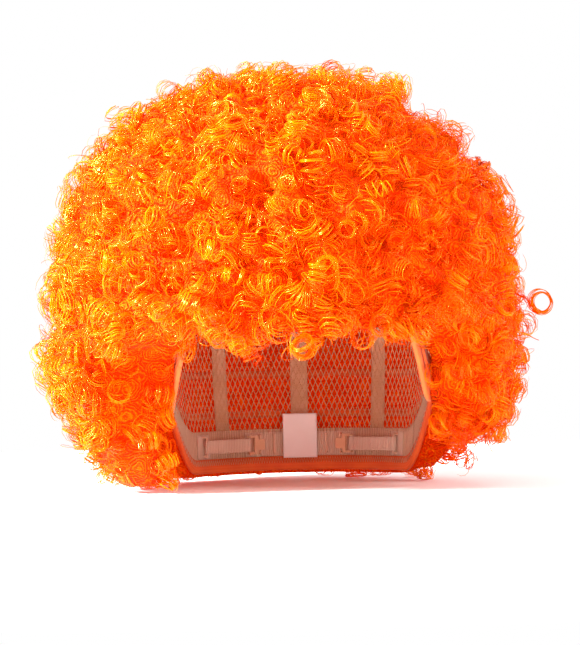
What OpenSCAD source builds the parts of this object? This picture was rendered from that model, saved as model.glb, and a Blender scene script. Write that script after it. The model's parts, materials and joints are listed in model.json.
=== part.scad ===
// Costume wig: a stretch cap sewn with rings of curled hair wefts, with hook adjusters at the nape.
// X = 0 is the mid-plane of the cap, the wearer faces -Y, and Z = 0 is the surface the hair stands on.
// The vertical axis through the origin is the axis of the head that the cap is cut for.

/* [Head] */
// Width of the head inside the cap, side to side
head_w = 156; // [140:1:175]
// Length of the head inside the cap, front to back
head_d = 194; // [175:1:220]
// Height of the top of the head above the base of the hair
crown_h = 168; // [150:1:190]
// Height of the widest level of the head
belt_h = 75; // [65:1:85]
// How round the dome is: 2 is an ellipsoid, more is squarer
dome_n = 2.2; // [2:0.1:2.6]
// Share by which the head narrows from its widest level down to the nape
nape_taper = 0.05; // [0:0.01:0.08]

/* [Cap edge] */
// Height of the cap's edge on the forehead
front_rim_h = 118; // [108:1:124]
// Height of the tip of each ear tab
tab_tip_h = 50; // [44:1:60]
// Height of the edge where it passes over the ear
ear_rim_h = 68; // [60:1:78]
// Height of the edge at the nape
nape_rim_h = 8; // [5:1:14]

/* [Cap cloth] */
// Height of the cloth band round the edge
band_h = 22; // [18:1:26]
// Thickness of the band
band_t = 1; // [0.8:0.1:1.6]
// Thickness of the net over the crown
net_t = 0.8; // [0.5:0.1:1.2]
// Width of each ribbon from the band to the crown
ribbon_w = 10; // [6:0.5:12]
// Thickness of a ribbon
ribbon_t = 0.6; // [0.4:0.1:1]
// Thickness of each leaf of the folded edge binding
binding_t = 0.8; // [0.6:0.1:1.2]
// Height of the edge binding's leaves over the band
binding_h = 6; // [4:0.5:9]
// Diameter of the elastic cord in the binding
elastic_d = 1.2; // [0.8:0.1:1.6]

/* [Wefts] */
// Height of each weft's sewn tape
tape_h = 4; // [3:0.5:6]
// Thickness of each weft's sewn tape
tape_t = 1.4; // [1:0.1:2]
// Height of the first weft above the cap's edge
first_row_h = 7; // [6:0.5:10]

/* [Hair] */
// Width of the hair, side to side
hair_w = 276; // [240:1:330]
// Depth of the hair, front to back
hair_d = 288; // [250:1:340]
// Height of the top of the hair
hair_h = 239; // [215:1:280]
// Height of the hair's widest level
hair_belt_h = 95; // [80:1:110]
// How round the hair is above its widest level
hair_top_n = 2.3; // [2:0.1:3]
// How round the hair is below its widest level
hair_low_n = 2.9; // [2:0.1:3.5]
// How far the hair is fuller on the wearer's right
fuller_right = 8; // [0:1:14]
// How far the hair is fuller at the back
fuller_back = 6; // [0:1:14]
// Height of the fringe's lower edge over the brow
fringe_h = 84; // [78:1:96]

/* [Adjusters] */
// Width of each elastic adjuster strap
strap_w = 8; // [6:0.5:10]
// Thickness of each adjuster strap
strap_t = 1; // [0.8:0.1:1.4]
// Diameter of the thread bars that the straps and hooks hold on to
bar_d = 1.2; // [1:0.1:1.6]
// Distance of the thread bars' centres from the band
bar_stand = 3.6; // [2.8:0.1:4]
// Distance from one loop for the hook to the next
loop_pitch = 9; // [8:0.5:11]
// Thickness of the hook
hook_t = 0.9; // [0.7:0.1:1.2]

/* [Label] */
// Width of the sewn-in size label
label_w = 20; // [14:1:24]
// Length of the size label
label_l = 26; // [18:1:30]
// Thickness of the size label
label_t = 0.4; // [0.3:0.1:0.6]

/* [Hidden] */
ROWS = 9; // wefts, from the edge of the cap to its crown
RIBBONS = ["ribbon_front", "ribbon_front_left", "ribbon_left", "ribbon_back_left",
           "ribbon_back", "ribbon_back_right", "ribbon_right", "ribbon_front_right"];
RIBBON_PHI = [0, 36, 90, 144, 180, 216, 270, 324]; // angle of each ribbon, from the forehead

ORANGE = "darkorange";
CLOTH = "bisque";
TURN = 360;
RING_STEPS = 60; // columns round a full ring
gap = 0.3; // between layers that are sewn flat on each other
side_gap = 0.6; // between one weft's curls and the next
running = 0.05; // radial clearance of a loop on its bar

mm_per_deg = (crown_h - belt_h) * PI / 180; // height for each degree of slope near the belt
gap_psi = side_gap / 2 / mm_per_deg;
ring_step = TURN / RING_STEPS;
tab_start = 8 * ring_step; // angles round the head, from the middle of the forehead
tab_end = 14 * ring_step;
side_end = 20 * ring_step;
last_row_psi = 80;
patch_psi = 79;
pole_psi = 88;

// Layers of the cap, as offsets outwards from the head
ribbon_off = max(band_t, net_t) + gap;
tape_off = ribbon_off + ribbon_t + gap;
curl_off = max(tape_off + tape_t, band_t + gap + binding_t) + 2 * gap;

// ---------- Shapes of the head and of the hair ----------
function ease(t) = t * t * (3 - 2 * t);
function between(a, b, t) = a + (b - a) * t;
// Eased value at x in a list of [x, value]
function along(keys, x) =
    let (i = max([for (j = [0 : len(keys) - 2]) if (x >= keys[j][0]) j]))
    between(keys[i][1], keys[i + 1][1], ease((x - keys[i][0]) / (keys[i + 1][0] - keys[i][0])));
// Angle from the forehead, the same on both sides
function off_front(phi) = let (p = abs(phi) % TURN) p > TURN / 2 ? TURN - p : p;

// psi is the slope angle on the dome: 0 at the belt, 90 at the pole, negative below the belt
function psi_at(z) = z >= belt_h
    ? asin(pow((z - belt_h) / (crown_h - belt_h), dome_n / 2))
    : (z - belt_h) / mm_per_deg;
function dome_r(psi) = psi >= 0
    ? pow(cos(psi), 2 / dome_n)
    : 1 - nape_taper * ease(min(1, psi / psi_at(0)));
function dome_z(psi, off) = psi >= 0
    ? belt_h + (crown_h - belt_h + off) * pow(sin(psi), 2 / dome_n)
    : belt_h + psi * mm_per_deg;
function cap_point(phi, psi, off) = [
    (head_w / 2 + off) * dome_r(psi) * sin(phi),
    -(head_d / 2 + off) * dome_r(psi) * cos(phi),
    dome_z(psi, off)];

// Edge of the cap and lower edge of the hair, as heights by angle
rim_keys = [[0, front_rim_h], [38, front_rim_h - 3], [67, tab_tip_h], [73, tab_tip_h],
            [90, ear_rim_h], [126, nape_rim_h], [180, nape_rim_h]];
low_keys = [[0, fringe_h], [36, fringe_h - 2], [50, fringe_h - 12], [64, 0], [180, 0]];
parting_keys = [[0, fringe_h], [30, fringe_h - 6], [90, 0], [180, 0]];
function rim_psi(phi) = psi_at(along(rim_keys, off_front(phi)));
function band_psi(phi) = rim_psi(phi) + band_h / mm_per_deg;
function low_h(phi) = along(low_keys, off_front(phi));

// The hair's outer surface, with its own slope angle
hair_drop = hair_belt_h * 1.137; // depth at which the lower half would close
function hair_psi_at(z) = z >= hair_belt_h
    ? asin(pow((z - hair_belt_h) / (hair_h - hair_belt_h), hair_top_n / 2))
    : -asin(pow((hair_belt_h - z) / hair_drop, hair_low_n / 2));
function hair_r(psi) = pow(cos(psi), 2 / (psi >= 0 ? hair_top_n : hair_low_n));
function hair_z(psi) = psi >= 0
    ? hair_belt_h + (hair_h - hair_belt_h) * pow(sin(psi), 2 / hair_top_n)
    : hair_belt_h - hair_drop * pow(-sin(psi), 2 / hair_low_n);
function hair_point(phi, psi) = [
    -fuller_right + hair_w / 2 * hair_r(psi) * sin(phi),
    fuller_back - hair_d / 2 * hair_r(psi) * cos(phi),
    hair_z(psi)];

// Slope angle of weft k, and of the partings between the curls of two wefts
function row_psi(phi, k) =
    let (first = rim_psi(phi) + first_row_h / mm_per_deg)
    between(first, last_row_psi, (k - 1) / (ROWS - 1));
function parting_psi(phi, k) = (row_psi(phi, k) + row_psi(phi, k + 1)) / 2;
function hair_parting_psi(phi, k) = between(hair_psi_at(along(parting_keys, off_front(phi))), 90, k / ROWS);

ring = [for (i = [0 : RING_STEPS - 1]) i * ring_step];

// ---------- Solids from points ----------
// Two triangles on the points at the corners, turning the same way, split along the shorter diagonal
// unless split says which: 0 from the first point, 1 from the second
function quad(ids, p, split = -1) =
    (split >= 0 ? split == 0 : norm(p[0] - p[2]) <= norm(p[1] - p[3]))
        ? [[ids[0], ids[2], ids[1]], [ids[0], ids[3], ids[2]]]
        : [[ids[0], ids[3], ids[1]], [ids[1], ids[3], ids[2]]];

// A stack of loops of points, joined loop to loop: wrapped round into a ring, or closed by flat ends.
// Two rings that meet wall to wall split it the same way: wall is the loop that the lower wall leaves.
module skin(loops, wrap = false, wall = -1) {
    n = len(loops[0]);
    m = len(loops);
    sides = [for (i = [0 : wrap ? m - 1 : m - 2], j = [0 : n - 1])
        let (u = (i + 1) % m, v = (j + 1) % n)
        each quad([i * n + j, i * n + v, u * n + v, u * n + j],
                  [loops[i][j], loops[i][v], loops[u][v], loops[u][j]],
                  wall < 0 ? -1 : i == wall ? 0 : i == m - 1 ? 1 : -1)];
    ends = wrap ? [] : [[for (j = [0 : n - 1]) j], [for (j = [n - 1 : -1 : 0]) (m - 1) * n + j]];
    polyhedron([for (l = loops) each l], concat(sides, ends));
}

// A thick sheet between two grids of points of the same size, the first one nearer the head
module sheet(inner, outer) {
    rows = len(inner);
    cols = len(inner[0]);
    count = rows * cols;
    function at(i, j, side) = side * count + i * cols + j;
    faces = [for (i = [0 : rows - 2], j = [0 : cols - 2]) each concat(
        quad([at(i, j, 0), at(i, j + 1, 0), at(i + 1, j + 1, 0), at(i + 1, j, 0)],
             [inner[i][j], inner[i][j + 1], inner[i + 1][j + 1], inner[i + 1][j]]),
        quad([at(i, j, 1), at(i + 1, j, 1), at(i + 1, j + 1, 1), at(i, j + 1, 1)],
             [outer[i][j], outer[i + 1][j], outer[i + 1][j + 1], outer[i][j + 1]]))];
    edge = concat(
        [for (j = [0 : cols - 1]) [0, j]], [for (i = [1 : rows - 1]) [i, cols - 1]],
        [for (j = [cols - 2 : -1 : 0]) [rows - 1, j]], [for (i = [rows - 2 : -1 : 1]) [i, 0]]);
    rim = [for (e = [0 : len(edge) - 1])
        let (p = edge[e], q = edge[(e + 1) % len(edge)])
        each [[at(q[0], q[1], 0), at(p[0], p[1], 1), at(p[0], p[1], 0)],
              [at(q[0], q[1], 0), at(q[0], q[1], 1), at(p[0], p[1], 1)]]];
    polyhedron([for (g = [inner, outer], row = g) each row], concat(faces, rim));
}

// ---------- Cap ----------
// Part of the cloth band round the edge, between two angles from the forehead
module band(from, to) {
    steps = (to - from) / ring_step;
    clear = 0.15; // degrees left at each end, so that two bands butt and don't overlap
    function grid(off) = [for (i = [0 : steps])
        let (phi = min(max(from + i * ring_step, from + clear), to - clear))
        [for (s = [0 : 3]) cap_point(phi, between(rim_psi(phi), band_psi(phi), s / 3), off)]];
    sheet(grid(0), grid(band_t));
}

module front_band() color(CLOTH) band(-tab_start, tab_start);
module ear_tab_left() color(CLOTH) band(tab_start, tab_end);
module side_band_left() color("lightyellow") band(tab_end, side_end);
module nape_band() color("lightyellow") band(side_end, TURN - side_end);

// Folded tape round the whole edge: both leaves and the fold, as one U section
module edge_binding() {
    clear = 0.2;
    fold = elastic_d + 2 * clear; // depth below the band that holds the cord
    inner_off = -clear;
    outer_off = band_t + clear;
    section = [
        [inner_off - binding_t, binding_h], [inner_off, binding_h], [inner_off, -fold], [outer_off, -fold],
        [outer_off, binding_h], [outer_off + binding_t, binding_h],
        [outer_off + binding_t, -fold - binding_t], [inner_off - binding_t, -fold - binding_t]];
    color("darkorange") skin([for (phi = ring)
        [for (p = section) cap_point(phi, rim_psi(phi) + p[1] / mm_per_deg, p[0])]], wrap = true);
}

module rim_elastic() {
    sides = 6;
    drop = elastic_d / 2 + 0.2;
    color("white") skin([for (phi = ring)
        [for (i = [0 : sides - 1]) let (a = i * TURN / sides)
            cap_point(phi, rim_psi(phi) + (-drop + elastic_d / 2 * sin(a)) / mm_per_deg,
                      band_t / 2 + elastic_d / 2 * cos(a))]], wrap = true);
}

// Dome of net from the band to the pole
module crown_net() {
    rings = 12;
    function loop(s, off) = [for (phi = ring)
        cap_point(phi, between(band_psi(phi) + gap_psi, pole_psi, s / rings), off)];
    color("mistyrose") skin(concat(
        [for (s = [rings : -1 : 0]) loop(s, 0)], [for (s = [0 : rings]) loop(s, net_t)]));
}

// Round patch that the ribbons run into
module crown_patch() {
    function loop(psi, off) = [for (phi = ring) cap_point(phi, psi, off)];
    color(CLOTH) skin([loop(pole_psi, ribbon_off), loop(patch_psi, ribbon_off),
                       loop(patch_psi, ribbon_off + ribbon_t), loop(pole_psi, ribbon_off + ribbon_t)]);
}

// Ribbon along one meridian, of constant width, from the band to the crown patch
module ribbon(phi) {
    steps = 16;
    start = rim_psi(phi) + band_h * 0.6 / mm_per_deg;
    function grid(off) = [for (side = [-1, 0, 1])
        [for (s = [0 : steps])
            let (psi = between(start, patch_psi - 0.5, s / steps),
                 across = norm([head_w / 2 * cos(phi), head_d / 2 * sin(phi)]) * dome_r(psi))
            cap_point(phi + side * ribbon_w / 2 / across * 180 / PI, psi, off)]];
    color(CLOTH) sheet(grid(ribbon_off), grid(ribbon_off + ribbon_t));
}

// ---------- Wefts ----------
module weft_tape(k) {
    half = tape_h / 2 / mm_per_deg;
    color(ORANGE) skin([for (phi = ring) let (psi = row_psi(phi, k)) [
        cap_point(phi, psi - half, tape_off), cap_point(phi, psi + half, tape_off),
        cap_point(phi, psi + half, tape_off + tape_t), cap_point(phi, psi - half, tape_off + tape_t)]],
        wrap = true);
}

// The room that the curls of weft k fill: from the cap out to the hair's surface
module curls(k) {
    inner_steps = k == 1 ? 5 : 2;
    outer_steps = 2;
    top = k == ROWS;
    function inner_low(phi) = k == 1 ? psi_at(low_h(phi)) : parting_psi(phi, k - 1) + gap_psi;
    function inner_high(phi) = top ? pole_psi : parting_psi(phi, k) - gap_psi;
    function outer_low(phi) = k == 1
        ? hair_psi_at(low_h(phi))
        : hair_parting_psi(phi, k - 1) + gap_psi;
    function outer_high(phi) = top ? pole_psi : hair_parting_psi(phi, k) - gap_psi;
    inner = [for (s = [inner_steps : -1 : 0])
        [for (phi = ring) cap_point(phi, between(inner_low(phi), inner_high(phi), s / inner_steps), curl_off)]];
    outer = [for (s = [0 : outer_steps])
        [for (phi = ring) hair_point(phi, between(outer_low(phi), outer_high(phi), s / outer_steps))]];
    color(ORANGE) skin(concat(inner, outer), wrap = !top, wall = inner_steps);
}

// ---------- Adjusters ----------
anchor_phi = 131; // where a strap is sewn to the nape band
hook_phi = 161; // where its hook sits in the first loop
bar_l = strap_w + 4;
adjust_z = nape_rim_h + binding_h + gap + (bar_l + 2) / 2;
adjust_psi = psi_at(adjust_z);
tape_in = 0.6; // thickness of the tape that carries the loops
loops_each_side = 2;
anchor = cap_point(anchor_phi, adjust_psi, -bar_stand);
seat = cap_point(hook_phi, adjust_psi, -bar_stand);
strap_l = norm([seat[0] - anchor[0], seat[1] - anchor[1]]);
strap_turn = atan2(seat[1] - anchor[1], seat[0] - anchor[0]);
loop_r = bar_d / 2 + running; // inside of a strap's end loop
hook_back = 9; // from the hook's tongue to the bar that the strap is looped on
label_stand = 2.2; // the label's back hangs this far from the bare head's surface

// Angle step that moves one loop pitch along the nape
pitch_phi = loop_pitch / norm([head_w / 2 * dome_r(adjust_psi) * cos(hook_phi),
                               head_d / 2 * dome_r(adjust_psi) * sin(hook_phi)]) * 180 / PI;

// A thread bar held off the band by a foot at each end
module thread_bar(phi) {
    p = cap_point(phi, adjust_psi, -bar_stand);
    translate([p[0], p[1], adjust_z]) {
        cylinder(d = bar_d, h = bar_l, center = true, $fn = 32);
        for (s = [-1, 1])
            let (z = s * (bar_l - bar_d) / 2,
                 wall = cap_point(phi, adjust_psi + z / mm_per_deg, -gap - tape_in / 2))
            rotate([0, 0, atan2(wall[1] - p[1], wall[0] - p[0])])
                translate([0, -bar_d / 2, z - bar_d / 2])
                    cube([norm([wall[0] - p[0], wall[1] - p[1]]), bar_d, bar_d]);
    }
}

// Tape sewn inside the nape band, with its loops for the two hooks
module loop_tape() {
    ends = TURN / 2 - hook_phi + pitch_phi;
    half = (bar_l + 2) / 2 / mm_per_deg;
    function grid(off) = [for (i = [0 : 10])
        let (phi = between(TURN / 2 - ends, TURN / 2 + ends, i / 10))
        [for (s = [-1, 1]) cap_point(phi, adjust_psi + s * half, off)]];
    color("bisque") {
        sheet(grid(-tape_in - gap), grid(-gap));
        for (i = [0 : loops_each_side - 1], side = [-1, 1])
            thread_bar(TURN / 2 + side * (TURN / 2 - hook_phi - i * pitch_phi));
    }
}

// Short piece of tape with one bar, sewn to the band: the strap's fixed end
module anchor_bar() {
    half = (bar_l + 2) / 2 / mm_per_deg;
    spread = 4;
    function grid(off) = [for (i = [-1, 0, 1])
        [for (s = [-1, 1]) cap_point(anchor_phi + i * spread, adjust_psi + s * half, off)]];
    color("bisque") {
        sheet(grid(-tape_in - gap), grid(-gap));
        thread_bar(anchor_phi);
    }
}

// Puts its children at the anchor bar, with +X along the strap and +Y towards the head
module along_strap() {
    translate([anchor[0], anchor[1], adjust_z]) rotate([0, 0, strap_turn]) children();
}

// Elastic strap with a loop at each end, one round the anchor bar and one round the hook's bar
module strap_left() {
    far = strap_l - hook_back;
    outer = loop_r + strap_t;
    color("bisque") along_strap() linear_extrude(height = strap_w, center = true) difference() {
        union() {
            circle(r = outer, $fn = 48);
            translate([far, 0]) circle(r = outer, $fn = 48);
            translate([0, loop_r]) square([far, strap_t]);
        }
        circle(r = loop_r, $fn = 48);
        translate([far, 0]) circle(r = loop_r, $fn = 48);
    }
}

// Flat hook: a frame with the strap's bar at one end and a bent tongue at the other
module hook_left() {
    rail = 1.2;
    frame_h = strap_w + 2 * (rail + gap);
    plate_y = bar_d / 2 + gap; // the plate passes the thread bar on the head's side
    tongue_h = strap_w - 2;
    far = strap_l - hook_back;
    color("tan") along_strap() {
        translate([far, 0, 0]) cylinder(d = bar_d, h = frame_h, center = true, $fn = 32);
        for (s = [-1, 1])
            translate([far - bar_d / 2, -bar_d / 2, s * (frame_h - rail) / 2 - rail / 2])
                cube([4.5, plate_y + hook_t + bar_d / 2, rail]);
        translate([far + 3.9 - bar_d / 2, plate_y, -frame_h / 2]) cube([2.4, hook_t, frame_h]);
        translate([far + 3.9 - bar_d / 2, plate_y, -tongue_h / 2])
            cube([hook_back - 3.9 + bar_d + gap + hook_t, hook_t, tongue_h]);
        translate([strap_l + bar_d / 2 + gap, -bar_d / 2, -tongue_h / 2])
            cube([hook_t, plate_y + bar_d / 2 + hook_t, tongue_h]);
    }
}

// ---------- Label ----------
// Blank woven label, sewn by its top edge inside the middle of the nape
module size_label() {
    top_z = nape_rim_h + band_h + 9;
    hem = cap_point(180, psi_at(top_z), 0);
    foot = cap_point(180, psi_at(top_z - label_l), 0);
    back = min(hem[1], foot[1]) - label_stand;
    color("white") translate([-label_w / 2, back - label_t, top_z - label_l])
        cube([label_w, label_t, label_l]);
}

// ---------- Nodes ----------
module mirrored() mirror([1, 0, 0]) children();

front_band();
ear_tab_left();
mirrored() ear_tab_left();  // ear_tab_right
side_band_left();
mirrored() side_band_left();  // side_band_right
nape_band();
edge_binding();
rim_elastic();
crown_net();
crown_patch();
for (i = [0 : len(RIBBONS) - 1])
    ribbon(RIBBON_PHI[i]);
for (k = [1 : ROWS]) {
    weft_tape(k);
    curls(k);
}
loop_tape();
anchor_bar();  // anchor_bar_left
mirrored() anchor_bar();  // anchor_bar_right
strap_left();
mirrored() strap_left();  // strap_right
hook_left();
mirrored() hook_left();  // hook_right
size_label();
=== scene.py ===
"""A costume wig: a stretch cap of net, bands and ribbons, nine wefts of tight ringlets, two hook adjusters
and a blank label. Shapes are worked out in millimetres and turned into metres when a mesh is made."""
import json
import math
import bpy
import numpy as np
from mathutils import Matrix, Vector


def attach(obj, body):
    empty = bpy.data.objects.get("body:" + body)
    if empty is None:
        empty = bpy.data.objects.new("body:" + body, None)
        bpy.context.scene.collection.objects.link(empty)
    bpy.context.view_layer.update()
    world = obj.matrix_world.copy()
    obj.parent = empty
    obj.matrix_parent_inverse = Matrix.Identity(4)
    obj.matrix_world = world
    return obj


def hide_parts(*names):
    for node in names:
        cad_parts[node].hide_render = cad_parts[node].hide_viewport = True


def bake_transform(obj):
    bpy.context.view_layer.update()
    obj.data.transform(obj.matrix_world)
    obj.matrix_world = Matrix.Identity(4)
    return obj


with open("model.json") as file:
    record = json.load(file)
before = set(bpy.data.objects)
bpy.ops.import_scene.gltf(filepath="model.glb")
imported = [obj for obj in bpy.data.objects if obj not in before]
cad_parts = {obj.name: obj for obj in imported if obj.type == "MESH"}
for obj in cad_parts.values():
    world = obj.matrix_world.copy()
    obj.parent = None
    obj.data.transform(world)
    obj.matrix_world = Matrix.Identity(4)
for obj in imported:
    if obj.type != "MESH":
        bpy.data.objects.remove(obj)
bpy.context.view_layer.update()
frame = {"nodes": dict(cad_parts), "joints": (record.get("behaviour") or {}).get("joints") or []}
scene = bpy.context.scene
rng = np.random.default_rng(7)


# ------------------------------------------------------------------ sizes, as in the part's source
HEAD_A, HEAD_B, CROWN, BELT, DOME_N, TAPER = 78.0, 97.0, 168.0, 75.0, 2.2, 0.05
FRONT_RIM, TAB_TIP, EAR_RIM, NAPE_RIM = 118.0, 50.0, 68.0, 8.0
BAND_H, BAND_T = 22.0, 1.0
RIBBON_W, RIBBON_T, RIBBON_OFF = 10.0, 0.6, 1.3
TAPE_OFF, FIRST_ROW = 2.2, 7.0
CURL_OFF, WALL_OFF = 4.2, 4.0
CORE_INSET, CORE_ASIDE, CORE_UP, CORE_RIM_OFF, CORE_BACK = 13.0, 4.5, 4.0, 2.4, 9.0
HAIR_A, HAIR_B, HAIR_TOP, HAIR_BELT = 138.0, 144.0, 239.0, 95.0
HAIR_TOP_N, HAIR_LOW_N = 2.3, 2.9
FULLER_RIGHT, FULLER_BACK, FRINGE, LOBE_LIFT = 8.0, 6.0, 84.0, 30.0
ROWS, LAST_ROW, PATCH_PSI = 9, 80.0, 79.0
MM_PER_DEG = (CROWN - BELT) * math.pi / 180
HAIR_DROP = HAIR_BELT * 1.137
RIM_KEYS = [(0, FRONT_RIM), (38, FRONT_RIM - 3), (67, TAB_TIP), (73, TAB_TIP), (90, EAR_RIM),
            (126, NAPE_RIM), (180, NAPE_RIM)]
LOW_KEYS = [(0, FRINGE), (36, FRINGE - 2), (50, FRINGE - 12), (64, 0), (180, 0)]
PARTING_KEYS = [(0, FRINGE), (30, FRINGE - 6), (90, 0), (180, 0)]


# ------------------------------------------------------------------ surfaces of the head and of the hair
def ease(t):
    return t * t * (3 - 2 * t)


def along(keys, phi):
    """Eased value at each angle from the forehead, the same on both sides."""
    x = np.abs(np.asarray(phi, float)) % 360
    x = np.where(x > 180, 360 - x, x)
    at, value = np.array(keys, float).T
    i = np.clip(np.searchsorted(at, x, side="right") - 1, 0, len(at) - 2)
    return value[i] + (value[i + 1] - value[i]) * ease((x - at[i]) / (at[i + 1] - at[i]))


def psi_at(z):
    """Slope angle on the head at a height: 0 at the belt, 90 at the crown."""
    z = np.asarray(z, float)
    up = np.degrees(np.arcsin(np.clip((z - BELT) / (CROWN - BELT), 0, 1) ** (DOME_N / 2)))
    return np.where(z >= BELT, up, (z - BELT) / MM_PER_DEG)


def cap(phi, psi, off):
    """x = (A + off) r sin(phi), y = -(B + off) r cos(phi), with r = cos(psi)^(2/n) on the dome."""
    phi, psi, off = np.broadcast_arrays(np.radians(phi), np.asarray(psi, float), np.asarray(off, float))
    s = np.radians(np.clip(psi, 0, 90))
    t = np.clip(psi / psi_at(0), 0, 1)
    r = np.where(psi >= 0, np.cos(s) ** (2 / DOME_N), 1 - TAPER * ease(t))
    z = np.where(psi >= 0, BELT + (CROWN - BELT + off) * np.sin(s) ** (2 / DOME_N), BELT + psi * MM_PER_DEG)
    return np.stack([(HEAD_A + off) * r * np.sin(phi), -(HEAD_B + off) * r * np.cos(phi), z], -1)


def rim_psi(phi):
    return psi_at(along(RIM_KEYS, phi))


def row_psi(phi, k):
    first = rim_psi(phi) + FIRST_ROW / MM_PER_DEG
    return first + (LAST_ROW - first) * (k - 1) / (ROWS - 1)


def parting_psi(phi, k):
    return (row_psi(phi, k) + row_psi(phi, k + 1)) / 2


def hair_psi_at(z):
    z = np.asarray(z, float)
    up = np.clip((z - HAIR_BELT) / (HAIR_TOP - HAIR_BELT), 0, 1) ** (HAIR_TOP_N / 2)
    low = np.clip((HAIR_BELT - z) / HAIR_DROP, 0, 1) ** (HAIR_LOW_N / 2)
    return np.degrees(np.where(z >= HAIR_BELT, np.arcsin(up), -np.arcsin(low)))


def hair(phi, psi):
    """Outer surface of the hair: two half superellipsoids that meet at its widest level."""
    phi, psi = np.broadcast_arrays(np.radians(phi), np.asarray(psi, float))
    n = np.where(psi >= 0, HAIR_TOP_N, HAIR_LOW_N)
    s = np.radians(np.clip(psi, -90, 90))
    r = np.abs(np.cos(s)) ** (2 / n)
    rise = np.abs(np.sin(s)) ** (2 / n)
    round_ = np.where(psi > 0, 1 - 0.02 * np.sin(2 * s) ** 2, 1)
    r, rise = r * round_, rise * round_
    z = HAIR_BELT + np.where(psi >= 0, (HAIR_TOP - HAIR_BELT) * rise, -HAIR_DROP * rise)
    return np.stack([HAIR_A * r * np.sin(phi) - FULLER_RIGHT, FULLER_BACK - HAIR_B * r * np.cos(phi), z], -1)


def lobe_lift(phi, middle=100, reach=48):
    """The lobe on one side ends higher, and at the outside that runs on round to the back."""
    return LOBE_LIFT * np.exp(-((np.mod(phi, 360) - middle) / reach) ** 4)


def hair_parting(phi, k):
    low = hair_psi_at(along(PARTING_KEYS, phi) + lobe_lift(phi))
    return low + (90 - low) * k / ROWS


def waves(p, length, seed, count=24):
    """Smooth random field of about unit size: a sum of cosines of one wavelength in random directions."""
    r = np.random.default_rng(seed)
    k = r.normal(size=(count, 3))
    k *= 2 * math.pi / length / np.linalg.norm(k, axis=1, keepdims=True)
    return np.cos(p @ k.T + r.uniform(0, 2 * math.pi, count)).sum(-1) * math.sqrt(2 / count)


def low_edge(phi, lift):
    """Height of the hair's lower edge: ragged where it hangs free."""
    low = along(LOW_KEYS, phi) + lift
    a = np.radians(phi)
    p = np.stack([HAIR_A * np.sin(a), -HAIR_B * np.cos(a), 0 * a], -1)
    return low + np.clip(low / 60, 0, 1) * 3.5 * waves(p, 26, 6)


def inner_low_edge(phi):
    return low_edge(phi, lobe_lift(phi, 66, 40))


def outer_low_edge(phi):
    return low_edge(phi, lobe_lift(phi))


def lumps(p):
    """How far the hair stands out from its mean surface, in mm: clusters of ringlets with valleys between."""
    return np.clip(4.0 * waves(p, 34, 3) + 2.0 * waves(p, 17, 4), -9, 8)


def outside_head(p, off):
    """Points inside the head's surface plus off are pushed out to it."""
    a, b, c = HEAD_A + off, HEAD_B + off, CROWN - BELT + off
    up = np.clip((p[..., 2] - BELT) / c, 0, None)
    t = np.clip((BELT - p[..., 2]) / BELT, 0, 1)
    r = 1 - TAPER * ease(t)
    flat = np.sqrt((p[..., 0] / a / r) ** 2 + (p[..., 1] / b / r) ** 2)
    q = (flat ** DOME_N + up ** DOME_N) ** (1 / DOME_N)
    push = np.where(q < 1, 1 / np.maximum(q, 0.2), 1)
    out = p.copy()
    out[..., 0] *= push
    out[..., 1] *= push
    out[..., 2] = np.where(up > 0, BELT + (p[..., 2] - BELT) * push, p[..., 2])
    return out


def above_floor(p, low=0.6, soft=4.0):
    """Points lower than soft settle on the floor and never go below low."""
    p = p.copy()
    z = p[..., 2]
    p[..., 2] = np.where(z < soft, low + (soft - low) * np.exp(np.minimum(z - soft, 0) / (soft - low)), z)
    return p


# ------------------------------------------------------------------ making meshes
def unit(v):
    return v / np.maximum(np.linalg.norm(v, axis=-1, keepdims=True), 1e-9)


def grid_quads(rows, cols, wrap_rows=False, wrap_cols=False):
    """Quads of a grid of points numbered row by row."""
    i, j = np.meshgrid(np.arange(rows - (not wrap_rows)), np.arange(cols - (not wrap_cols)), indexing="ij")
    i, j = i.ravel(), j.ravel()
    u, v = (i + 1) % rows, (j + 1) % cols
    return np.stack([i * cols + j, i * cols + v, u * cols + v, u * cols + j], 1)


def piece(name, points, faces, body, material, nodes=(), uv=None, smooth=True):
    """A mesh in metres from points in mm and lists of faces, turned so that it encloses a positive volume.
    uv is one pair per point, kept as the map OFBake."""
    points = np.asarray(points, float).reshape(-1, 3) * 0.001
    faces = [np.asarray(f, np.int64) for f in (faces if isinstance(faces, list) else [faces]) if len(f)]
    tris = np.concatenate([f[:, [0, k, k + 1]] for f in faces for k in range(1, f.shape[1] - 1)])
    a, b, c = (points[tris[:, k]] for k in range(3))
    if np.einsum("ij,ij->", a, np.cross(b, c)) < 0:
        faces = [f[:, ::-1] for f in faces]
    loops = np.concatenate([f.ravel() for f in faces])
    sizes = np.concatenate([np.full(len(f), f.shape[1]) for f in faces])
    mesh = bpy.data.meshes.new(name)
    mesh.vertices.add(len(points))
    mesh.vertices.foreach_set("co", points.ravel().astype(np.float32))
    mesh.loops.add(len(loops))
    mesh.loops.foreach_set("vertex_index", loops.astype(np.int32))
    mesh.polygons.add(len(sizes))
    mesh.polygons.foreach_set("loop_start", (np.cumsum(sizes) - sizes).astype(np.int32))
    mesh.update(calc_edges=True)
    mesh.polygons.foreach_set("use_smooth", np.full(len(sizes), smooth))
    if uv is not None:
        layer = mesh.uv_layers.new(name="OFBake")
        layer.data.foreach_set("uv", np.asarray(uv, np.float32).reshape(-1, 2)[loops].ravel())
    mesh.validate()
    mesh.materials.append(material)
    obj = bpy.data.objects.new(name, mesh)
    scene.collection.objects.link(obj)
    if body:
        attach(obj, body)
    if nodes:
        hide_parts(*nodes)
    return obj


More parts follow.
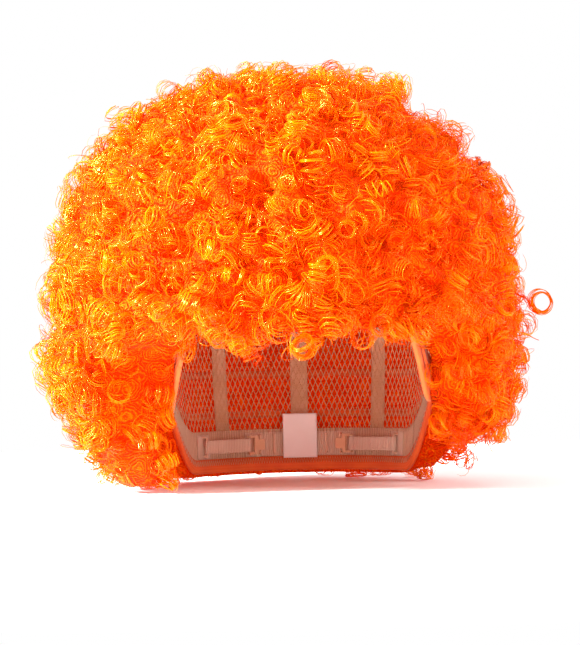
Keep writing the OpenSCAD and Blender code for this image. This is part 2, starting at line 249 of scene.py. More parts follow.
def shell(name, inner, outer, body, slot, material, nodes=(), wrap=False):
    """Closed sheet between two grids of points: inner and outer faces and the walls round their edges.
    Its map runs in mm along and across the sheet."""
    rows, cols = inner.shape[:2]
    count = rows * cols
    quads = grid_quads(rows, cols, wrap_rows=wrap)
    i, j = np.arange(rows), np.arange(cols)
    if wrap:
        rims = [(i * cols)[::-1], i * cols + cols - 1]
        edge = np.concatenate([np.stack([r, np.roll(r, -1)], 1) for r in rims])
    else:
        round_ = np.concatenate([j[:-1], i[:-1] * cols + cols - 1,
                                 (rows - 1) * cols + j[:0:-1], i[:0:-1] * cols])
        edge = np.stack([round_, np.roll(round_, -1)], 1)
    walls = np.stack([edge[:, 1], edge[:, 0], edge[:, 0] + count, edge[:, 1] + count], 1)
    step_u = np.linalg.norm(np.diff(outer, axis=0), axis=2).mean(1)
    step_v = np.linalg.norm(np.diff(outer, axis=1), axis=2).mean(0)
    u = np.concatenate([[0], np.cumsum(step_u)])
    v = np.concatenate([[0], np.cumsum(step_v)])
    uv = np.stack(np.meshgrid(u, v, indexing="ij"), -1).reshape(-1, 2)
    obj = piece(name, np.concatenate([inner.reshape(-1, 3), outer.reshape(-1, 3)]),
                np.concatenate([quads, quads[:, ::-1] + count, walls]), body, material, nodes)
    layer = obj.data.uv_layers.new(name="Cloth")
    loop = np.empty(len(obj.data.loops), np.int32)
    obj.data.loops.foreach_get("vertex_index", loop)
    layer.data.foreach_set("uv", (np.concatenate([uv, uv]) * 0.001)[loop].astype(np.float32).ravel())
    return obj


def tubes(centres, across, width, thick, sides=3):
    """Points and faces of closed tubes. centres is (tubes, points, 3), across their width direction, and
    width and thick the full sizes of the section, a flattened polygon: c + cos(a) w/2 W + sin(a) t/2 N."""
    m, k = centres.shape[:2]
    along_ = unit(np.gradient(centres, axis=1))
    normal = unit(np.cross(along_, across))
    wide = np.cross(normal, along_)
    a = np.arange(sides) * 2 * math.pi / sides + math.pi / 2
    w = np.broadcast_to(np.asarray(width, float), (m, k))[..., None, None] / 2
    t = np.broadcast_to(np.asarray(thick, float), (m, k))[..., None, None] / 2
    points = (centres[:, :, None] + w * np.cos(a)[:, None] * wide[:, :, None]
              + t * np.sin(a)[:, None] * normal[:, :, None])
    start = (np.arange(m) * k * sides)[:, None, None]
    quads = (grid_quads(k, sides, wrap_cols=True)[None] + start).reshape(-1, 4)
    ring = np.arange(sides)
    ends = np.stack([ring[::-1], (k - 1) * sides + ring])
    ends = (ends[None] + start).reshape(-1, sides)
    return points.reshape(-1, 3), [quads, ends]


# ------------------------------------------------------------------ materials
def linear(code):
    """sRGB hex colour to linear RGBA."""
    c = np.array([int(code[i:i + 2], 16) / 255 for i in (1, 3, 5)])
    c = np.where(c <= 0.04045, c / 12.92, ((c + 0.055) / 1.055) ** 2.4)
    return (*c, 1.0)


def add(tree, kind, sockets=None, **settings):
    """A shader node with its settings, and its sockets set to values or linked from other sockets."""
    n = tree.nodes.new("ShaderNode" + kind)
    for key, value in settings.items():
        setattr(n, key, value)
    for key, value in (sockets or {}).items():
        if isinstance(value, bpy.types.NodeSocket):
            tree.links.new(value, n.inputs[key])
        else:
            n.inputs[key].default_value = value
    return n


def new_material(name):
    m = bpy.data.materials.new(name)
    m.use_nodes = True
    m.node_tree.nodes.clear()
    return m, m.node_tree


def ramp(tree, factor, stops):
    n = add(tree, "ValToRGB", {"Fac": factor})
    while len(n.color_ramp.elements) < len(stops):
        n.color_ramp.elements.new(0.5)
    for element, (at, code) in zip(n.color_ramp.elements, stops):
        element.position, element.color = at, linear(code)
    return n.outputs["Color"]


# Tints of the fibre from deeper to lighter; the locks' painted valley shade and light move them along it
HAIR_STOPS = [(0.0, "#F85400"), (0.3, "#F86C00"), (0.7, "#F88000"), (1.0, "#F89200")]
GLOSS = linear("#FFDC50")
# Colour of a painted glow: red light the fibre gives out of its own, which lifts the red in its crevices
PAINTED_GLOW = linear("#FF3800")


def hair_material():
    """Modacrylic fibre: drawn plastic, IOR 1.5, half glossy, light passes through it, and a painted glow
    gives back a little red light of its own. Painted shade makes it deeper in colour towards its root, deep
    in the hair."""
    m, t = new_material("modacrylic_fibre")
    uv = add(t, "UVMap", uv_map="OFBake")
    x = add(t, "SeparateXYZ", {"Vector": uv.outputs["UV"]})
    tint = ramp(t, x.outputs["X"], HAIR_STOPS)
    # Painted shade: deep red near the root, where the strand lies deep in the hair, turning to the tint along
    # it
    depth = add(t, "MapRange", {"Value": x.outputs["Y"], "From Min": 0.1, "From Max": 0.6})
    colour = add(t, "Mix", {"Factor": depth.outputs["Result"], "A": linear("#F04000"), "B": tint},
                 data_type="RGBA")
    colour = colour.outputs["Result"]
    # The emission is the painted glow
    body = add(t, "BsdfPrincipled", {"Base Color": colour, "Roughness": 0.2, "IOR": 1.5,
                                     "Specular IOR Level": 0.9, "Specular Tint": GLOSS,
                                     "Emission Color": PAINTED_GLOW, "Emission Strength": 0.2})
    through = add(t, "BsdfTranslucent", {"Color": colour})
    mix = add(t, "MixShader", {0: 0.4, 1: body.outputs[0], 2: through.outputs[0]})
    add(t, "OutputMaterial", {"Surface": mix.outputs[0]})
    return m


def core_material():
    """The same fibre matted deep in the hair: strands lying in rings about 12 mm wide. Its colours are
    painted shade, deeper than the ringlets' and deep red in the gaps between the rings, and it has the
    painted glow.
    """
    m, t = new_material("matted_fibre")
    at = add(t, "TexCoord").outputs["Object"]
    wander = add(t, "TexNoise", {"Vector": at, "Scale": 110.0, "Detail": 2.0})
    warp = add(t, "VectorMath", {0: wander.outputs["Color"], 1: (0.007, 0.007, 0.007)}, operation="MULTIPLY")
    where = add(t, "VectorMath", {0: at, 1: warp.outputs[0]}, operation="ADD")
    cell = add(t, "TexVoronoi", {"Vector": where.outputs[0], "Scale": 80.0}, feature="F1")
    turn = add(t, "Math", {0: cell.outputs["Distance"], 1: 52.0}, operation="MULTIPLY")
    ring = add(t, "Math", {0: turn.outputs[0]}, operation="SINE")
    fuzz = add(t, "TexNoise", {"Vector": at, "Scale": 900.0, "Detail": 2.0})
    shade = add(t, "Math", {0: ring.outputs[0], 1: 0.22, 2: fuzz.outputs["Fac"]}, operation="MULTIPLY_ADD")
    # Painted shade: the colour turns deep red far from the middle of each ring, in the gaps between rings
    far = add(t, "Math", {0: cell.outputs["Distance"], 1: -0.55, 2: shade.outputs[0]},
              operation="MULTIPLY_ADD")
    colour = ramp(t, far.outputs[0],
                  [(0.0, "#D82000"), (0.25, "#EC3C00"), (0.5, "#F45C00"), (0.8, "#F47000")])
    bump = add(t, "Bump", {"Height": far.outputs[0], "Strength": 0.9, "Distance": 0.003})
    # The emission is the painted glow, lifting the red of the matted hair in its shade
    body = add(t, "BsdfPrincipled", {"Base Color": colour, "Roughness": 0.6, "IOR": 1.5,
                                     "Specular IOR Level": 0.15, "Specular Tint": GLOSS,
                                     "Emission Color": PAINTED_GLOW, "Emission Strength": 0.2,
                                     "Normal": bump.outputs[0]})
    add(t, "OutputMaterial", {"Surface": body.outputs[0]})
    return m


def cloth_material(name, dark, light, pitch, roughness=0.85, relief=0.00012, ribs=0.0):
    """Knitted or woven polyester, IOR 1.5: yarns that cross every pitch mm, and ribs across an elastic."""
    m, t = new_material(name)
    uv = add(t, "UVMap", uv_map="Cloth")
    waves_ = []
    for axis in ("X", "Y"):
        w = add(t, "TexWave", {"Vector": uv.outputs["UV"], "Scale": 50 * 2 * math.pi / pitch,
                               "Distortion": 0.4, "Detail": 1.0, "Detail Scale": 2.0}, bands_direction=axis)
        waves_.append(w.outputs["Fac"])
    weave = add(t, "Math", {0: waves_[0], 1: waves_[1]}, operation="MULTIPLY").outputs[0]
    if ribs:
        r = add(t, "TexWave", {"Vector": uv.outputs["UV"], "Scale": 50 * 2 * math.pi / ribs},
                bands_direction="X")
        weave = add(t, "Math", {0: r.outputs["Fac"], 1: 3.0, 2: weave}, operation="MULTIPLY_ADD").outputs[0]
    noise = add(t, "TexNoise", {"Vector": add(t, "TexCoord").outputs["Object"], "Scale": 60.0, "Detail": 4.0})
    level = add(t, "Math", {0: weave, 1: 0.25, 2: noise.outputs["Fac"]}, operation="MULTIPLY_ADD")
    colour = ramp(t, level.outputs[0], [(0.3, dark), (0.9, light)])
    bump = add(t, "Bump", {"Height": weave, "Strength": 0.8, "Distance": relief})
    body = add(t, "BsdfPrincipled", {"Base Color": colour, "Roughness": roughness, "IOR": 1.5,
                                     "Normal": bump.outputs[0], "Sheen Weight": 0.15, "Sheen Roughness": 0.5})
    add(t, "OutputMaterial", {"Surface": body.outputs[0]})
    return m


def plain_material(name, code, roughness, noise_mm=1.5, depth=0.00005, ior=1.5):
    """Moulded nylon, twisted thread or a painted floor: one colour, with a faint unevenness."""
    m, t = new_material(name)
    noise = add(t, "TexNoise", {"Vector": add(t, "TexCoord").outputs["Object"], "Scale": 1000.0 / noise_mm})
    bump = add(t, "Bump", {"Height": noise.outputs["Fac"], "Strength": 0.5, "Distance": depth})
    body = add(t, "BsdfPrincipled", {"Base Color": linear(code), "Roughness": roughness, "IOR": ior,
                                     "Normal": bump.outputs[0]})
    add(t, "OutputMaterial", {"Surface": body.outputs[0]})
    return m


HAIR = hair_material()
CORE = core_material()
BAND_CLOTH = cloth_material("knit_band", "#CF9C70", "#EBC6A2", 0.9, relief=0.0003)
RIBBED = cloth_material("ribbed_elastic", "#CB986E", "#EBC6A2", 0.6, ribs=1.8, relief=0.0004)
BINDING = cloth_material("folded_tape", "#E05A10", "#F07018", 0.5, roughness=0.6)
WEFT = cloth_material("weft_tape", "#E04A00", "#F06A10", 0.7, relief=0.0003)
STRAP = cloth_material("woven_elastic", "#DDB692", "#F2D8BE", 0.5, ribs=1.2, relief=0.0003)
LABEL = cloth_material("satin_label", "#ECE9E2", "#F6F4EF", 0.3, roughness=0.4, relief=0.00005)
NET = plain_material("net_thread", "#D8A880", 0.7)
THREAD = plain_material("stitched_thread", "#E6C6A6", 0.7, 0.5)
CORD = plain_material("rubber_cord", "#E8E0D4", 0.8, 0.8)
NYLON = plain_material("moulded_nylon", "#DDB68F", 0.3, 6.0)
FLOOR = plain_material("painted_floor", "#F4F3F1", 0.6, 30.0)


# ------------------------------------------------------------------ cap
def cap_grid(phi, low, high, steps, off):
    """Grid of points on the cap: one row for each angle, from slope angle low to high."""
    t = np.linspace(0, 1, steps)[None]
    return cap(phi[:, None], low[:, None] + (high - low)[:, None] * t, off)


def band(name, start, end, material, slot):
    phi = np.linspace(start + 0.15, end - 0.15, int(end - start) + 1)
    low = rim_psi(phi)
    grids = [cap_grid(phi, low, low + BAND_H / MM_PER_DEG, 9, off) for off in (0, BAND_T)]
    obj = shell(name + "_cloth", *grids, "cap", slot, material, [name])


band("front_band", -48, 48, BAND_CLOTH, "band_cloth")
for side, sign in (("left", 1), ("right", -1)):
    for part, start, end, material, slot in (("ear_tab", 48, 84, BAND_CLOTH, "band_cloth"),
                                             ("side_band", 84, 120, RIBBED, "ribbed_elastic")):
        band(f"{part}_{side}", *sorted((sign * start, sign * end)), material, slot)
band("nape_band", 120, 240, RIBBED, "ribbed_elastic")

ROUND = np.arange(0, 360, 1.5)


def swept(name, section, psi, body, material, nodes):
    """A closed ring round the cap: section is a list of (offset, height) in mm about the slope angle psi."""
    off, rise = np.array(section, float).T
    grid = cap(ROUND[:, None], psi[:, None] + rise[None] / MM_PER_DEG, off[None])
    along_ = np.concatenate([[0], np.cumsum(np.linalg.norm(np.diff(grid[:, 0], axis=0), axis=1))])
    across = np.arange(len(section)) * 1.0
    obj = piece(name, grid, grid_quads(*grid.shape[:2], True, True), body, material, nodes)
    layer = obj.data.uv_layers.new(name="Cloth")
    loop = np.empty(len(obj.data.loops), np.int32)
    obj.data.loops.foreach_get("vertex_index", loop)
    uv = np.stack(np.meshgrid(along_, across, indexing="ij"), -1).reshape(-1, 2) * 0.001
    layer.data.foreach_set("uv", uv[loop].astype(np.float32).ravel())
    return obj


RIM = rim_psi(ROUND)
swept("edge_binding_tape", [(-0.95, 5.8), (-0.55, 6), (-0.2, 5.8), (-0.2, 2), (-0.2, -1.6), (0.5, -1.65),
                            (1.2, -1.6), (1.2, 2), (1.2, 5.8), (1.6, 6), (1.95, 5.8), (2.0, 2), (1.9, -1.6),
                            (1.5, -2.2), (0.5, -2.4), (-0.5, -2.2), (-0.9, -1.6), (-1.0, 2)],
      RIM, "cap", BINDING, ["edge_binding"])
angles = np.arange(8) * math.pi / 4
swept("rim_elastic_cord", [(0.5 + 0.58 * math.cos(a), -0.8 + 0.58 * math.sin(a)) for a in angles],
      RIM, "cap", CORD, ["rim_elastic"])
for k in range(1, ROWS + 1):
    swept(f"weft_tape_{k}_band",
          [(TAPE_OFF, -1.9), (TAPE_OFF, 1.9), (TAPE_OFF + 0.9, 2), (TAPE_OFF + 1.4, 1), (TAPE_OFF + 1.1, 0),
           (TAPE_OFF + 1.4, -1), (TAPE_OFF + 0.9, -2)],
          row_psi(ROUND, k), "cap", WEFT, [f"weft_tape_{k}"])

# The zigzag seam that holds the binding: one thread over its inner leaf
phi = np.arange(0, 360, 0.6)
rise = np.where(np.arange(len(phi)) % 2, 5.2, 2.2)
seam = cap(phi, rim_psi(phi) + rise / MM_PER_DEG, -1.05)[None]
seam = np.concatenate([seam, seam[:, :1]], 1)
points, faces = tubes(seam, unit(np.cross(np.gradient(seam, axis=1), [0, 0, 1.0])), 0.35, 0.3, 5)
piece("binding_seam", points, faces, "cap", THREAD)

# Net: two sets of threads that cross on the dome
lines = np.arange(150) * 360 / 150
rise = np.linspace(0, 1, 26)
threads = []
for turn in (-1, 1):
    phi = lines[:, None] + turn * 62 * rise[None]
    low = rim_psi(phi) + (BAND_H - 1.5) / MM_PER_DEG
    psi = low + (86 - low) * rise[None]
    threads.append(cap(phi, psi, 0.4 + 0.12 * turn))
threads = np.concatenate(threads)
across = unit(np.cross(np.gradient(threads, axis=1), threads - [0, 0, BELT]))
points, faces = tubes(threads, across, 0.5, 0.35, 4)
piece("crown_net_threads", points, faces, "cap", NET, ["crown_net"])

grids = [cap(ROUND[:, None], np.linspace(PATCH_PSI, 89.5, 8)[None], off)
         for off in (RIBBON_OFF, RIBBON_OFF + 0.6)]
patch = shell("crown_patch_cloth", *grids, "cap", "band_cloth", BAND_CLOTH, ["crown_patch"], wrap=True)

RIBBON_PHI = {"front": 0, "front_left": 36, "left": 90, "back_left": 144, "back": 180, "back_right": 216,
              "right": 270, "front_right": 324}
for name, phi in RIBBON_PHI.items():
    start = rim_psi(phi) + BAND_H * 0.6 / MM_PER_DEG
    psi = np.linspace(start, PATCH_PSI - 0.5, 60)
    middle = cap(phi, psi, RIBBON_OFF)
    reach = np.linalg.norm(cap(phi + 1, psi, RIBBON_OFF) - middle, axis=1)
    side = np.linspace(-RIBBON_W / 2, RIBBON_W / 2, 7)
    grids = [cap(phi + side[:, None] / reach[None], psi[None], off + 0 * side[:, None])
             for off in (RIBBON_OFF, RIBBON_OFF + RIBBON_T)]
    obj = shell(f"ribbon_{name}_cloth", *grids, "cap", "band_cloth", BAND_CLOTH, [f"ribbon_{name}"])


# ------------------------------------------------------------------ adjusters
joints = {j["name"]: j for j in frame["joints"]}
BAR_STAND, BAR_D, STRAP_W, STRAP_T, HOOK_BACK = 3.6, 1.2, 8.0, 1.0, 9.0
ANCHOR_PHI, HOOK_PHI = 131.0, 161.0
pivot = np.array(joints["strap_swing_left"]["pos_m"]) * 1000
ADJUST_Z = pivot[2]
ADJUST_PSI = float(psi_at(ADJUST_Z))
BAR_L = STRAP_W + 4
seat = cap(HOOK_PHI, ADJUST_PSI, -BAR_STAND)
strap_l = math.hypot(*(seat - pivot)[:2])
pitch_phi = 9.0 / np.linalg.norm(cap(HOOK_PHI + 0.5, ADJUST_PSI, 0) - cap(HOOK_PHI - 0.5, ADJUST_PSI, 0))


def thread_bars(phis):
    """Stitched loops: a bar held off the band, and its two ends sewn in."""
    out = []
    for phi in phis:
        half = BAR_L / 2 - 0.6
        ends = [cap(phi, ADJUST_PSI + s * half / MM_PER_DEG, -0.6) for s in (-1, 1)]
        top = cap(phi, ADJUST_PSI, -BAR_STAND)
        at = [ends[0], [top[0], top[1], ADJUST_Z - half], [top[0], top[1], ADJUST_Z + half], ends[1]]
        path = np.concatenate([np.linspace(at[i], at[i + 1], 9, endpoint=i == 2) for i in range(3)])
        smooth = path.copy()
        for _ in range(2):
            smooth[1:-1] = (smooth[:-2] + 2 * smooth[1:-1] + smooth[2:]) / 4
        out.append(smooth)
    return np.array(out)


def tape_with_bars(name, start, end, phis, node):
    half = (BAR_L + 2) / 2 / MM_PER_DEG
    phi = np.linspace(start, end, 40)
    low = np.full(len(phi), ADJUST_PSI - half)
    grids = [cap_grid(phi, low, low + 2 * half, 9, off) for off in (-0.75, -0.3)]
    shell(name, *grids, "cap", "loop_thread", STRAP, [node])
    paths = thread_bars(phis)
    points, faces = tubes(paths, np.broadcast_to([0.3, 0.2, 0.0], paths.shape), BAR_D, BAR_D, 10)
    piece(name + "_loops", points, faces, "cap", THREAD)


loop_phis = [180 + s * (180 - HOOK_PHI - i * pitch_phi) for s in (-1, 1) for i in (0, 1)]
tape_with_bars("loop_tape_woven", HOOK_PHI - pitch_phi, 360 - HOOK_PHI + pitch_phi, loop_phis, "loop_tape")
for side, phi in (("left", ANCHOR_PHI), ("right", 360 - ANCHOR_PHI)):
    tape_with_bars(f"anchor_{side}_woven", phi - 4, phi + 4, [phi], f"anchor_bar_{side}")

for side, sign in (("left", 1), ("right", -1)):
    hinge, slide = joints[f"strap_swing_{side}"], joints[f"strap_stretch_{side}"]
    root = np.array(hinge["pos_m"]) * 1000
    ahead = unit(np.array(slide["axis"], float))
    inward = np.array([-ahead[1], ahead[0], 0.0]) * sign
    far = strap_l - HOOK_BACK
    r = BAR_D / 2 + 0.05 + STRAP_T / 2
    # Path of the band's middle: round the anchor, along the straight, round the hook's bar
    a = np.radians(np.linspace(430, 90, 34))
    start_arc = np.stack([r * np.cos(a), r * np.sin(a)], 1)
    a = np.radians(np.linspace(90, -250, 34))
    end_arc = np.stack([far + r * np.cos(a), r * np.sin(a)], 1)
    straight = np.stack([np.linspace(0, far, 30)[1:-1], np.full(28, r)], 1)
    path = np.concatenate([start_arc, straight, end_arc])
    tangent = unit(np.gradient(path, axis=0))
    out = np.stack([-tangent[:, 1], tangent[:, 0]], 1)
    heights = np.linspace(-STRAP_W / 2, STRAP_W / 2, 9)
    grids = []
    for half in (-STRAP_T / 2 + 0.02, STRAP_T / 2 - 0.02):
        flat = path + out * half
        line = root + flat[:, :1] * ahead + flat[:, 1:] * inward
        grids.append(line[:, None] + heights[None, :, None] * np.array([0, 0, 1.0]))
    strap = shell(f"strap_{side}_elastic", *grids, None, "strap_elastic", STRAP, [f"strap_{side}"])
    start, end = (root + ahead * d for d in (4.0, far - 3.0))
    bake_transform(strap)
    hook = frame["nodes"][f"hook_{side}"]
    hook.data.materials.clear()
    hook.data.materials.append(NYLON)


# ------------------------------------------------------------------ label
label_hinge = np.array(joints["label_flip"]["pos_m"]) * 1000
x = np.linspace(-10, 10, 21)[:, None]
drop = np.linspace(0, 26, 27)[None]
curl = 0.5 * (x / 10) ** 2 * (drop / 26) + 0.25 * np.sin(drop / 26 * math.pi)
grids = [np.stack([x + 0 * drop, label_hinge[1] - curl + t, label_hinge[2] - drop + 0 * x], -1)
         for t in (0.15, -0.15)]
label = shell("size_label_woven", *grids, "label", "label", LABEL, ["size_label"])


# ------------------------------------------------------------------ hair
def core(k):
    """The matted hair of weft k, from the cap out to a few mm under the ringlets. It is a closed ring: the
    inner surface from top to bottom, then the outer one from bottom to top. Its lower edge is read a few
    degrees nearer the forehead and lies a little higher, so that it stays behind the ringlets."""
    phi = np.arange(0, 360, 2.0)[:, None]
    aside = np.where(phi <= 180, np.maximum(phi - CORE_ASIDE, 0),
                     360 - np.maximum(360 - CORE_ASIDE - phi, 0))
    in_low = psi_at(inner_low_edge(aside) + CORE_UP) if k == 1 else parting_psi(phi, k - 1) - 0.1
    in_high = np.full(phi.shape, 89.9) if k == ROWS else parting_psi(phi, k) + 0.1
    out_low = hair_psi_at(outer_low_edge(aside) + CORE_UP) if k == 1 else hair_parting(phi, k - 1) - 0.2
    out_high = np.full(phi.shape, 89.9) if k == ROWS else hair_parting(phi, k) + 0.2
    psi = in_high + (in_low - in_high) * np.linspace(0, 1, 16)[None]
    below = (row_psi(phi, 1) - psi) * MM_PER_DEG
    steep = (along(RIM_KEYS, phi + 1) - along(RIM_KEYS, phi - 1)) / 3.2
    free = below > FIRST_ROW + 4.5 * np.hypot(1, steep)
    inner = cap(phi, psi, np.select([free, below > 3], [WALL_OFF + CORE_BACK, CORE_RIM_OFF], CURL_OFF))
    t = np.linspace(0, 1, 16)[None]
    surface = hair(phi, out_low + (out_high - out_low) * t)
    root = cap(phi, in_low + (in_high - in_low) * t, CURL_OFF)
    inset = CORE_INSET - 0.8 * lumps(surface) - 1.4 * waves(surface, 9, 5)
    outer = surface - unit(surface - root) * inset[..., None]
    middle = (inner[:, -1:] + outer[:, :1]) / 2
    grid = above_floor(np.concatenate([inner, middle, outer], 1), 1.0)
    piece(f"curls_{k}_core", grid, grid_quads(*grid.shape[:2], True, True), "cap", CORE)


def scatter(grid, spacing):
    """Points spread evenly over a grid surface, no two nearer than spacing, with the surface's normals."""
    du, dv = np.diff(grid, axis=0)[:, :-1], np.diff(grid, axis=1)[:-1]
    normal = np.cross(du, dv)
    area = np.linalg.norm(normal, axis=2)
    total = area.sum()
    count = int(total / spacing ** 2 * 4)
    cell = rng.choice(area.size, count, p=(area / total).ravel())
    i, j = np.divmod(cell, area.shape[1])
    a, b = rng.uniform(size=(2, count, 1))
    at = grid[i, j] + a * du[i, j] + b * dv[i, j]
    kept = np.full((count, 3), 1e9)
    index, n = [], 0
    for m in range(count):
        if n == 0 or ((kept[:n] - at[m]) ** 2).sum(1).min() > spacing ** 2:
            kept[n] = at[m]
            index.append(m)
            n += 1
    index = np.array(index)
    return at[index], unit(normal[i[index], j[index]])


def strands(tips, normals, per_lock, steps, turns, radius, width, depth=13.0, reach=(4, 15), spread=0.4):
    """Strands of ringlets. A lock rises from under the matted hair to its tip and bends over; its strands
    wind round that line, c(s) + r(s) (cos t E1 + sin t E2), nearly in step with one another."""
    count = len(tips)
    lean = unit(normals + 0.45 * rng.normal(size=(count, 3)))
    side = unit(rng.normal(size=(count, 3)) + [0, 0, -0.25])
    side = unit(side - 0.8 * (side * normals).sum(1, keepdims=True) * normals)
    p0 = tips - lean * depth
    p1 = tips - lean * rng.uniform(0, 5, (count, 1))
    end_on = rng.uniform(size=(count, 1)) < 0.6
    p2 = p1 + np.where(end_on, lean * rng.uniform(1, 4, (count, 1)) + side * rng.uniform(0, 6, (count, 1)),
                       side * rng.uniform(*reach, (count, 1)))
    s = np.linspace(0, 1, steps)[None, :, None]
    line = p0[:, None] * (1 - s) ** 2 + 2 * p1[:, None] * s * (1 - s) + p2[:, None] * s ** 2
    tangent = unit(np.gradient(line, axis=1))
    e1 = unit(np.cross(tangent, unit(rng.normal(size=(count, 3)))[:, None]))
    e2 = np.cross(tangent, e1)

    def each(v):
        return np.repeat(v, per_lock, axis=0)

    n = count * per_lock
    t = s[..., 0]
    wind = each(rng.choice([-1.0, 1.0], (count, 1)) * rng.uniform(0.8, 1.2, (count, 1)) * turns)
    spread = each(np.where(end_on, 0.5, 1.0) * spread)
    theta = each(rng.uniform(0, 2 * math.pi, (count, 1))) + 2 * math.pi * wind * t
    theta = theta + rng.normal(0, 1, (n, 1)) * spread
    stray = t * rng.uniform(0.6, 1.6, (n, 1)) + rng.uniform(0, 1, (n, 1))
    theta = theta + 0.4 * np.sin(2 * math.pi * stray)
    r = each(rng.uniform(0.7, 1.15, (count, 1))) * radius * (1 + rng.uniform(-0.4, 0.25, (n, 1)) * spread)
    r = r * np.clip(t / 0.12, 0.15, 1) * (1 - 2.2 * np.clip(t - 0.85, 0, 1))
    shift = rng.normal(0, 1.3, (n, 1, 1)) * each(tangent)
    round_ = np.cos(theta)[..., None] * each(e1) + np.sin(theta)[..., None] * each(e2)
    at = each(line) + shift + r[..., None] * round_
    at = above_floor(outside_head(at, CURL_OFF))
    w = rng.uniform(0.6, 1.3, (n, 1)) * width * np.clip((1.03 - t) / 0.12, 0.25, 1)
    return at, each(tangent), w, t


def arcs(points, normals, steps, radius, width):
    """Loose fibres: each an arc of a ring of its own, c + r (cos t E1 + sin t E2), with a slight rise."""
    n = len(points)
    e1 = unit(rng.normal(size=(n, 3)) + 0.3 * normals)
    e3 = unit(np.cross(e1, rng.normal(size=(n, 3))))
    e2 = np.cross(e3, e1)
    t = np.linspace(0, 1, steps)[None]
    theta = rng.uniform(0, 2 * math.pi, (n, 1)) + rng.uniform(3.4, 7.0, (n, 1)) * t
    r = rng.uniform(0.6, 1.2, (n, 1)) * radius * (1 + rng.uniform(-0.25, 0.25, (n, 1)) * t)
    round_ = np.cos(theta)[..., None] * e1[:, None] + np.sin(theta)[..., None] * e2[:, None]
    at = points[:, None] + r[..., None] * round_
    at = above_floor(outside_head(at + e3[:, None] * (t * rng.uniform(-4, 4, (n, 1)))[..., None], CURL_OFF))
    w = rng.uniform(0.6, 1.3, (n, 1)) * width * np.clip(np.minimum(t, 1 - t) / 0.2 + 0.3, 0.3, 1)
    return at, np.broadcast_to(e3[:, None], at.shape), w, 0.35 + 0.65 * t + 0 * w


def ringlets(name, made, tint, nodes, sides=3, thick=0.45, limit=1000):
    """The strands as closed flattened tubes, at most limit to a piece. The map holds (tint, place along): the
    tint carries the painted valley shade, and the place along the painted shade towards the root.
    """
    at, across, w, t = made
    for part, start in enumerate(range(0, len(at), limit)):
        cut = slice(start, start + limit)
        points, faces = tubes(at[cut], across[cut], w[cut], w[cut] * thick, sides)
        uv = np.stack(np.broadcast_arrays(tint[cut, None], t), -1)
        piece(f"{name}_{part + 1}", points, faces, "cap", HAIR, nodes,
              np.repeat(uv.reshape(-1, 2), sides, 0))


def tint_with_valley_shade(tips, per_lock):
    """A tint for each lock, random for each lock and strand, with painted shade and light: locks in a valley
    are deeper in colour and those that stand out lighter.
    """
    base = 0.5 + 0.05 * lumps(tips) + rng.normal(0, 0.08, len(tips))
    return np.clip(np.repeat(base, per_lock) + rng.normal(0, 0.1, len(tips) * per_lock), 0.02, 0.98)


PHI = np.arange(0, 361, 3.0)[:, None]
SPACING, PER_LOCK, STEPS, TURNS = 9.0, 5, 26, 3.0
RINGLET_R, STRAND_W = 6.2, 0.58
LOOSE, LOOSE_STEPS, LOOSE_R, LOOSE_W, LOOSE_LIMIT = 4, 10, 5.4, 0.4, 3400
for k in range(1, ROWS + 1):
    core(k)
    out_low = hair_psi_at(outer_low_edge(PHI)) if k == 1 else hair_parting(PHI, k - 1)
    out_high = np.full(PHI.shape, 89.5) if k == ROWS else hair_parting(PHI, k)
    surface = hair(PHI, out_low + (out_high - out_low) * np.linspace(0, 1, 9)[None])
    if k == 1:
        rim, foot = rim_psi(PHI) - 3 / MM_PER_DEG, psi_at(inner_low_edge(PHI))
        wall = cap(PHI, rim + (np.minimum(foot, rim) - rim) * np.linspace(0, 1, 9)[None], WALL_OFF)
        strip = wall[:, -1:] + (surface[:, :1] - wall[:, -1:]) * np.linspace(0, 1, 8)[None, 1:-1, None]
        surface = np.concatenate([wall, strip, surface], 1)
    tips, normals = scatter(surface, SPACING)
    tips = tips + normals * (lumps(tips) - 7)[:, None]
    tips[:, 2] = np.maximum(tips[:, 2], rng.uniform(5.5, 8.5, len(tips)))
    made = strands(tips, normals, PER_LOCK, STEPS, TURNS, RINGLET_R, STRAND_W, spread=0.7)
    ringlets(f"curls_{k}_ringlets", made, tint_with_valley_shade(tips, PER_LOCK), [f"curls_{k}"])
    count = len(tips) * LOOSE
    pick = rng.integers(0, len(tips), count)
    at = tips[pick] + np.clip(rng.normal(0, 4, (count, 3)), -6, 6)
    at = at - normals[pick] * rng.uniform(1, 8, (count, 1))
    at[:, 2] = np.maximum(at[:, 2], 5)
    made = arcs(at, normals[pick], LOOSE_STEPS, LOOSE_R, LOOSE_W)
    ringlets(f"curls_{k}_loose", made, tint_with_valley_shade(at, 1), [f"curls_{k}"], limit=LOOSE_LIMIT)


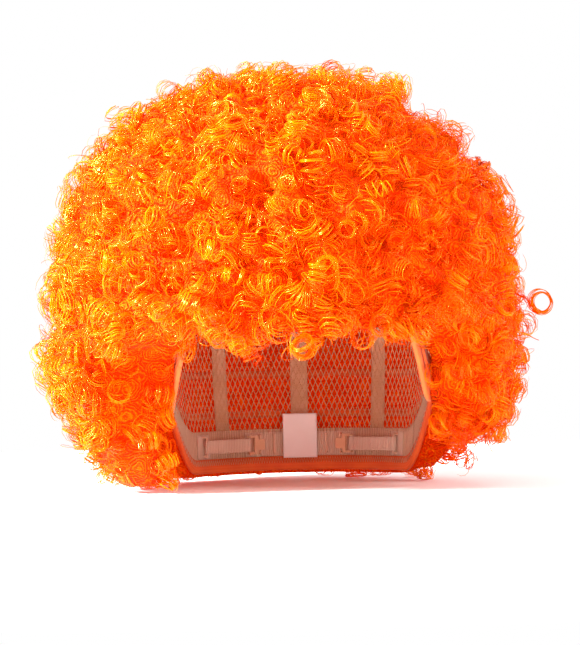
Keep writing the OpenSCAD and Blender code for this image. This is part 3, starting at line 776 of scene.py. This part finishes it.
def free_ringlet(name, centre, facing, radius, loops, root, node, fibres=9):
    """A ringlet that hangs free: a bundle of fibres that runs out of the hair and winds round as loops seen
    from the side facing."""
    facing = unit(np.array(facing, float))
    e1 = unit(np.array(root, float) - centre)
    e1 = unit(e1 - (e1 @ facing) * facing)
    e2 = np.cross(facing, e1)
    t = np.linspace(0, 1, int(loops * 22))[None, :, None]
    one = rng.normal(size=(fibres, 1, 3)) * 0.7
    theta = 0.4 + 2 * math.pi * loops * t + rng.normal(0, 0.08, (fibres, 1, 1))
    r = radius * (1 + rng.uniform(-0.1, 0.1, (fibres, 1, 1))) * (1 - 0.12 * t)
    coil = np.array(centre) + r * (np.cos(theta) * e1 + np.sin(theta) * e2) + facing * (t - 0.5) * 4 + one
    s = np.linspace(0, 1, 12)[None, :-1, None]
    bend = np.array(root) * 0.4 + coil[:, :1] * 0.6 + e2 * -4
    lead = np.array(root) * (1 - s) ** 2 + 2 * bend * s * (1 - s) + coil[:, :1] * s ** 2 + one * s
    at = above_floor(np.concatenate([lead, coil], 1))
    v = np.linspace(0.3, 1, at.shape[1])[None] + np.zeros((fibres, 1))
    made = at, np.broadcast_to(facing, at.shape), 0.75 + 0 * v, v
    ringlets(name, made, rng.uniform(0.35, 0.75, fibres), [node], sides=4)


free_ringlet("curls_2_side_ringlet", (135.0, -20.0, 101.0), (0.15, -1, 0.1), 6.3, 2.2,
             (118.0, -10.0, 106.0), "curls_2")
free_ringlet("curls_1_brow_ringlet", (2.0, -133.0, 80.0), (0.1, -1, 0.1), 5.6, 2.2,
             (4.0, -124.0, 94.0), "curls_1")


# ------------------------------------------------------------------ floor, light and camera
a = np.radians(np.arange(0, 360, 3.75))[:, None]
r = np.array([[0.0001, 300.0, 620.0]])
disc = np.stack([r * np.cos(a), r * np.sin(a), 0 * a * r], -1)
under = disc - [0, 0, 20.0]
ring = np.concatenate([disc, under[:, ::-1]], 1)
floor = piece("floor", ring, grid_quads(*ring.shape[:2], True, True), None, FLOOR, smooth=False)

world = bpy.data.worlds.new("studio")
scene.world = world
world.use_nodes = True
world.node_tree.nodes["Background"].inputs["Color"].default_value = (1.0, 1.0, 1.0, 1.0)
world.node_tree.nodes["Background"].inputs["Strength"].default_value = 1.0


def light(name, at, target, size, power):
    data = bpy.data.lights.new(name, "AREA")
    data.size, data.energy = size, power
    obj = bpy.data.objects.new(name, data)
    scene.collection.objects.link(obj)
    obj.location = at
    direction = np.array(target) - np.array(at)
    obj.rotation_euler = Vector(direction).to_track_quat("-Z", "Y").to_euler()


light("key", (-1.6, -0.5, 0.9), (0, 0, 0.12), 0.22, 240)
light("fill", (1.7, -0.9, 0.6), (0, 0, 0.1), 0.8, 52)

camera = bpy.data.cameras.new("camera")
camera.sensor_fit = "HORIZONTAL"
camera.sensor_width = 36
camera.lens = 198.5
camera.clip_end = 50
eye = bpy.data.objects.new("camera", camera)
scene.collection.objects.link(eye)
eye.location = (-0.0045, -1.794, 0.0926)
eye.rotation_euler = (math.radians(90), math.radians(1.2), 0)
scene.camera = eye
scene.view_settings.view_transform = "Standard"
scene.cycles.diffuse_bounces = 8
scene.cycles.max_bounces = 12
scene.cycles.transmission_bounces = 8
